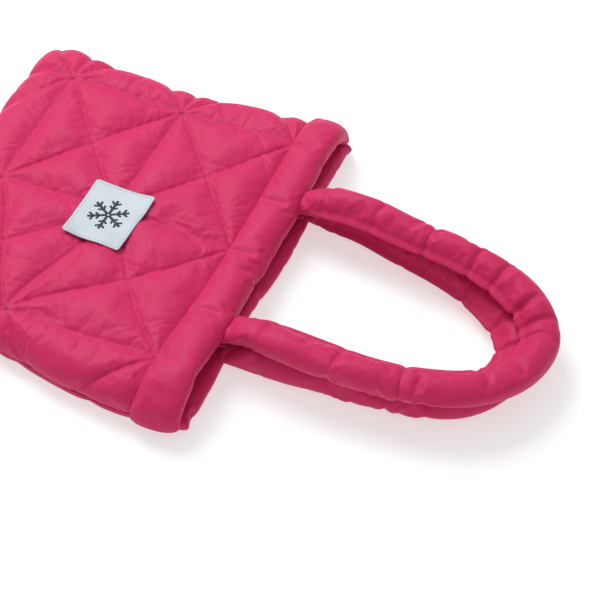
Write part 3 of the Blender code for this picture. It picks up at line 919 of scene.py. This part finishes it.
for panel, route in ROUTES.items():
    through = [(MOUTH_X + out, across, height) for out, across, height in route]
    line, places = smooth_line(through, HANDLE_GRID)
    total = places[-1]
    run = np.gradient(line, axis=0)
    run /= np.linalg.norm(run, axis=-1, keepdims=True)
    inner = np.cross(run, (0.0, 0.0, 1.0))
    inner /= np.linalg.norm(inner, axis=-1, keepdims=True)
    above = np.cross(inner, run)
    to_end = np.minimum(places, total - places)
    flatness = 1.0 - smooth_rise(to_end, 0.0, ROOT_RUN)
    pressed = smooth_rise(places / total, 0.54, 0.68)
    wide = HANDLE_RADIUS * (0.98 + 0.02 * np.sin(places * 70.0) + 0.06 * flatness + 0.16 * pressed)
    tall = HANDLE_RADIUS * (0.99 + 0.02 * np.cos(places * 90.0) - 0.45 * flatness - 0.08 * pressed)
    joins = [COVER_JOINS[panel][0], total - COVER_JOINS[panel][1]]
    for join in joins:
        pinch = 0.13 * np.exp(-(((places - join) / 0.0035) ** 2))
        wide = wide * (1.0 - pinch)
        tall = tall * (1.0 - pinch)
    turns = np.linspace(0.0, 2.0 * math.pi, HANDLE_COLUMNS, endpoint=False)
    rings = (
        line[:, None]
        + inner[:, None] * (wide[:, None] * np.cos(turns))[..., None]
        + above[:, None] * (tall[:, None] * np.sin(turns))[..., None]
    )
    for fold, reach, depth in HANDLE_FOLDS[panel]:
        near_fold = np.exp(-(((places - fold * total) / 0.0030) ** 2))[:, None]
        share = near_fold * np.clip(np.cos(turns - reach), 0.0, 1.0)
        rings -= (rings - line[:, None]) * (depth / HANDLE_RADIUS * share)[..., None]
    rings = capped(rings)
    rows = len(rings)
    first_row = len(HEM_CAP_RINGS)
    join_rows = [first_row + int(np.argmin(np.abs(places - join))) for join in joins]
    handle_held = np.zeros(rings.shape[:2], bool)
    handle_held[:, [-1, 0, 1]] = True
    handle_held[: first_row + 1] = handle_held[-first_row - 1 :] = True
    handle_held[join_rows] = True
    swollen = swell(
        f"{panel}_handle_cloth",
        rings,
        tube_faces(rows, HANDLE_COLUMNS),
        handle_held.ravel(),
        STUFFING_PRESSURE,
        0.04,
        0.004,
    ).reshape(rings.shape)
    lip = smooth_rise(to_end, 0.005, 0.03)[:, None]
    swollen[first_row:-first_row, 0] += (inner * LIP_REACH - above * LIP_DROP) * lip
    swollen[..., 2] = np.maximum(swollen[..., 2], 0.0004)
    body = f"{panel}_handle"
    cuts = [0, *join_rows, rows - 1]
    for part, start, end in zip(("far", "bend", "near"), cuts, cuts[1:]):
        piece_rings = joined(swollen[start : end + 1], part != "far", part != "near")
        piece_faces = tube_faces(len(piece_rings), HANDLE_COLUMNS)
        cover = new_piece(f"{panel}_handle_{part}_cloth", piece_rings, piece_faces, shell_cloth)
        settle(cover)
        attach(cover, body)
        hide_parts(f"{panel}_handle_cover_{part}")
    middle = swollen.mean(axis=1, keepdims=True)
    core = new_piece(
        f"{panel}_handle_fleece",
        (middle + (swollen - middle) * CORE_SHARE)[2:-2],
        tube_faces(rows - 4, HANDLE_COLUMNS),
        wadding_fleece,
    )
    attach(core, body)
    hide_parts(f"{panel}_handle_core")


# ---- Handle tabs --------------------------------------------------------------------------
# The handles' cloth ends are pressed flat and sewn under the hems as tabs.

for side in ("far", "near"):
    for panel in ("front", "back"):
        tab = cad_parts[f"{panel}_handle_tab_{side}"]
        tab.data.materials.clear()
        tab.data.materials.append(shell_cloth)


# ---- Label --------------------------------------------------------------------------------
# A woven satin label, its edges folded under, is sewn to the front panel with white thread.
# It carries a printed snowflake and follows the pads that it lies on.

LABEL_LIFT = 0.0006
LABEL_THICKNESS = 0.0008
LABEL_GRID = 0.0018
LABEL_CORNER = 0.0022
STITCH_MARGIN = 0.0022
STITCH_LENGTH = 0.0021
STITCH_PITCH = 0.0031
STITCH_RADIUS = 0.00022
FLAKE_RADIUS = 0.0175
FLAKE_BAR = 0.0024
FLAKE_LIFT = 0.00008
FLAKE_BRANCHES = ((0.42, 0.0046), (0.70, 0.0054))  # share of the arm, length
STITCH_RINGS = ((0.0, -0.8, 0.4), (0.12, 0.3, 0.9), (0.5, 0.9, 1.0), (0.88, 0.3, 0.9), (1.0, -0.8, 0.4))
SATIN_DULL = (0.450, 0.515, 0.560, 1.0)
SATIN_BRIGHT = (0.500, 0.560, 0.605, 1.0)

label_low, label_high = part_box("label")
LABEL_MIDDLE = 0.5 * (label_low + label_high)
LABEL_TURN = math.radians(-3.0)
LABEL_WIDTH = 0.054
LABEL_LENGTH = 0.064


def satin(name):
    """White woven satin: fine ribs, a soft gloss and a cool tint."""
    finish = Finish(name, Roughness=0.42, Specular_IOR_Level=0.4, Sheen_Weight=0.1)
    drift = finish.noise(60.0, 2.0)
    ribs = finish.noise(2200.0, 1.0, (1.0, 0.12, 1.0))
    finish.set(
        Base_Color=finish.mix(drift * 0.7 + ribs * 0.3, SATIN_DULL, SATIN_BRIGHT),
        Normal=finish.bump(ribs, 0.00006, 0.6, finish.bump(drift, 0.0008, 0.35)),
    )
    return finish.material


def thread_finish(name, colour):
    """Twisted sewing thread."""
    finish = Finish(name, Roughness=0.6, Specular_IOR_Level=0.35, Sheen_Weight=0.2)
    twist = finish.noise(3000.0, 1.0)
    dark = tuple(0.8 * c for c in colour[:3]) + (1.0,)
    finish.set(Base_Color=finish.mix(twist, dark, colour), Normal=finish.bump(twist, 0.00008, 0.6))
    return finish.material


cloth_mesh = front_shell.data
front_tree = BVHTree.FromPolygons(
    [tuple(v.co) for v in cloth_mesh.vertices], [tuple(p.vertices) for p in cloth_mesh.polygons]
)


def cloth_height(x, y):
    hit = front_tree.ray_cast(Vector((x, y, 0.2)), Vector((0.0, 0.0, -1.0)))[0]
    return hit.z


def on_label(across, along):
    """The place in the bag's frame of a point on the flat label."""
    warp = 0.003 * (along / LABEL_LENGTH) * (across / LABEL_WIDTH - 0.5)
    u = across + warp
    x = LABEL_MIDDLE.x + u * math.cos(LABEL_TURN) - along * math.sin(LABEL_TURN)
    y = LABEL_MIDDLE.y + u * math.sin(LABEL_TURN) + along * math.cos(LABEL_TURN)
    return x, y


label_rows = round(LABEL_WIDTH / LABEL_GRID) + 1
label_columns = round(LABEL_LENGTH / LABEL_GRID) + 1
label_u, label_v = np.meshgrid(
    np.linspace(-LABEL_WIDTH / 2, LABEL_WIDTH / 2, label_rows),
    np.linspace(-LABEL_LENGTH / 2, LABEL_LENGTH / 2, label_columns),
    indexing="ij",
)
round_u = np.clip(np.abs(label_u) - (LABEL_WIDTH / 2 - LABEL_CORNER), 0.0, None)
round_v = np.clip(np.abs(label_v) - (LABEL_LENGTH / 2 - LABEL_CORNER), 0.0, None)
past = np.maximum(np.hypot(round_u, round_v) - LABEL_CORNER, 0.0)
label_u = label_u - np.sign(label_u) * past * 0.7
label_v = label_v - np.sign(label_v) * past * 0.7
label_x, label_y = on_label(label_u, label_v)
under = np.array([[cloth_height(x, y) for x, y in zip(*pair)] for pair in zip(label_x, label_y)])


def softened(heights, passes):
    for _ in range(passes):
        spread = np.pad(heights, 1, mode="edge")
        heights = (spread[:-2, 1:-1] + spread[2:, 1:-1] + spread[1:-1, :-2] + spread[1:-1, 2:]) / 4.0
    return heights


label_z = softened(under, 40)
label_z = label_z + max(0.0, float(np.percentile(under - label_z, 96)))
label_z = np.maximum(label_z, softened(np.maximum(under, label_z), 6)) + LABEL_LIFT + LABEL_THICKNESS
label_z = label_z + 0.0016 * smooth_rise(label_u * label_v, 0.0003, 0.0009)


def label_surface(u, v):
    """A point on the label's face above flat place u, v."""
    row = np.clip((u / LABEL_WIDTH + 0.5) * (label_rows - 1), 0, label_rows - 1.001)
    column = np.clip((v / LABEL_LENGTH + 0.5) * (label_columns - 1), 0, label_columns - 1.001)
    i, j = int(row), int(column)
    a, b = row - i, column - j
    z = (label_z[i, j] * (1 - a) + label_z[i + 1, j] * a) * (1 - b)
    z += (label_z[i, j + 1] * (1 - a) + label_z[i + 1, j + 1] * a) * b
    x, y = on_label(u, v)
    return np.array([x, y, z])


label = new_piece(
    "woven_label",
    np.stack([label_x, label_y, label_z], -1),
    grid_faces(label_rows, label_columns),
    satin("white_satin"),
)
settle(label, LABEL_THICKNESS)
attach(label, "front")
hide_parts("label")


def stitch_row(starts, ends, up):
    """Points and faces of stitches, each a short thread from a start to an end, sunk at both ends."""
    points, faces = [], []
    turns = np.linspace(0.0, 2.0 * math.pi, 6, endpoint=False)
    for start, end, normal in zip(starts, ends, up):
        run = end - start
        side = np.cross(run, normal)
        side /= np.linalg.norm(side)
        base = len(points) * 6
        for share, height, size in STITCH_RINGS:
            middle = start + run * share + normal * STITCH_RADIUS * height
            ring = np.outer(np.cos(turns), side) + np.outer(np.sin(turns), normal)
            points.append(middle + ring * STITCH_RADIUS * size)
        faces += [tuple(base + v for v in face) for face in tube_faces(5, 6)]
    return np.concatenate(points), faces


half_u = LABEL_WIDTH / 2 - STITCH_MARGIN
half_v = LABEL_LENGTH / 2 - STITCH_MARGIN
starts, ends = [], []
for fixed, reach, turned in ((half_v, half_u, False), (half_u, half_v, True)):
    count = int(2 * reach / STITCH_PITCH)
    for sign in (-1.0, 1.0):
        for k in range(count):
            a = -reach + (k + 0.5) * 2 * reach / count - STITCH_LENGTH / 2
            pair = [(a, sign * fixed), (a + STITCH_LENGTH, sign * fixed)]
            pair = [(v, u) for u, v in pair] if turned else pair
            starts.append(label_surface(*pair[0]))
            ends.append(label_surface(*pair[1]))
sewn_points, sewn_faces = stitch_row(starts, ends, [np.array([0.0, 0.0, 1.0])] * len(starts))
label_thread = new_piece(
    "label_thread", sewn_points, sewn_faces, thread_finish("white_thread", (0.52, 0.58, 0.62, 1.0))
)
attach(label_thread, "front")
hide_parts("label_stitching")


def ink_bar(start, end, width):
    """A raised printed bar on the label between two flat places, as points and faces."""
    start, end = np.array(start), np.array(end)
    run = end - start
    length = np.linalg.norm(run)
    side = np.array([-run[1], run[0]]) / length * width / 2
    steps = max(2, int(length / 0.0015) + 1)
    top, foot = [], []
    for share in np.linspace(0.0, 1.0, steps):
        for sign in (-1.0, 1.0):
            face = label_surface(*(start + run * share + side * sign))
            top.append(face + (0.0, 0.0, FLAKE_LIFT))
            foot.append(face - (0.0, 0.0, LABEL_THICKNESS / 2))
    return loft(np.array(top).reshape(steps, 2, 3), np.array(foot).reshape(steps, 2, 3))


flake_points, flake_faces = [], []
for arm in range(6):
    angle = math.radians(60.0 * arm + 30.0)
    spoke = np.array([math.cos(angle), math.sin(angle)])
    bars = [(spoke * 0.001, spoke * FLAKE_RADIUS, FLAKE_BAR)]
    for place, reach in FLAKE_BRANCHES:
        for lean in (-1.0, 1.0):
            tilt = angle + lean * math.radians(52.0)
            tip = spoke * FLAKE_RADIUS * place + reach * np.array([math.cos(tilt), math.sin(tilt)])
            bars.append((spoke * FLAKE_RADIUS * place, tip, FLAKE_BAR * 0.8))
    for bar in bars:
        points, faces = ink_bar(*bar)
        start = sum(len(p) for p in flake_points)
        flake_points.append(points)
        flake_faces += [tuple(start + v for v in face) for face in faces]
ink = Finish("navy_ink", Roughness=0.45, Specular_IOR_Level=0.3)
patch = ink.noise(900.0, 2.0)
ink.set(
    Base_Color=ink.mix(patch, (0.010, 0.020, 0.032, 1.0), (0.020, 0.034, 0.050, 1.0)),
    Normal=ink.bump(patch, 0.00005, 0.5),
)
snowflake = new_piece("label_snowflake", np.concatenate(flake_points), flake_faces, ink.material)
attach(snowflake, "front")
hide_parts("label_motif")


# ---- Quilting thread ----------------------------------------------------------------------
# Pink thread runs along every quilting seam of the front panel, sunk between the pads.

QUILT_STITCH = 0.0026
QUILT_PITCH = 0.0036

across_run = np.linspace(-HALF_WIDTH + 0.004, HALF_WIDTH - 0.004, 700)
along_run = np.linspace(BOTTOM_X + 0.003, MOUTH_X - CHANNEL_SETBACK - 0.002, 900)
starts, ends, rises = [], [], []
seam_x, seam_y = np.meshgrid(along_run, across_run, indexing="ij")
along, across = quilt_place(seam_x, seam_y)
for line in QUILT_LINES:
    value = line[0] * along + line[1] * across
    by_rows = line[0] != 0.0
    field = value if by_rows else value.T
    for level in range(math.ceil(field.min()), math.floor(field.max()) + 1):
        crossing = (field[:-1] - level) * (field[1:] - level) <= 0.0
        found = crossing.any(axis=0)
        first = crossing.argmax(axis=0)
        lanes = np.flatnonzero(found)
        below = field[first[lanes], lanes]
        share = (level - below) / (field[first[lanes] + 1, lanes] - below)
        walked = first[lanes] + share
        walked_run, lane_run = (along_run, across_run) if by_rows else (across_run, along_run)
        track = np.stack([np.interp(walked, np.arange(len(walked_run)), walked_run), lane_run[lanes]], -1)
        if not by_rows:
            track = track[:, ::-1]
        if len(track) < 8:
            continue
        travelled = np.concatenate([[0.0], np.cumsum(np.linalg.norm(np.diff(track, axis=0), axis=1))])
        places = np.arange(0.002, travelled[-1] - 0.004, QUILT_PITCH)
        for offset, into in ((0.0, starts), (QUILT_STITCH, ends)):
            spot = [np.interp(places + offset, travelled, track[:, k]) for k in (0, 1)]
            into.extend(front_surface(*spot))
        spot = [np.interp(places, travelled, track[:, k]) for k in (0, 1)]
        here = front_surface(*spot)
        slope_x = front_surface(spot[0] + 1e-4, spot[1]) - here
        slope_y = front_surface(spot[0], spot[1] + 1e-4) - here
        rises.extend(np.cross(slope_x, slope_y))
rises = np.array(rises) / np.linalg.norm(rises, axis=1, keepdims=True)
lift = rises * 0.0002
thread_points, thread_faces = stitch_row(np.array(starts) + lift, np.array(ends) + lift, rises)
pink_thread = thread_finish("pink_thread", (0.50, 0.020, 0.085, 1.0))
quilting = new_piece("front_quilting_thread", thread_points, thread_faces, pink_thread)
across_mouth_hinge(quilting)


# ---- Snap ---------------------------------------------------------------------------------
# The snap's halves are pressed sheet metal, brushed by the press and dull at the rims.

snap_metal = Finish("dull_nickel", Metallic=1.0)
brushed = snap_metal.noise(700.0, 3.0, (1.0, 0.2, 1.0))
worn = snap_metal.noise(160.0, 3.0)
snap_metal.set(
    Base_Color=snap_metal.mix(worn, (0.46, 0.45, 0.43, 1.0), (0.66, 0.65, 0.63, 1.0)),
    Roughness=0.25 + 0.2 * brushed,
    Normal=snap_metal.bump(brushed, 0.00005, 0.5),
)
for node in ("snap_socket", "snap_stud"):
    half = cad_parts[node]
    half.data.materials.clear()
    half.data.materials.append(snap_metal.material)
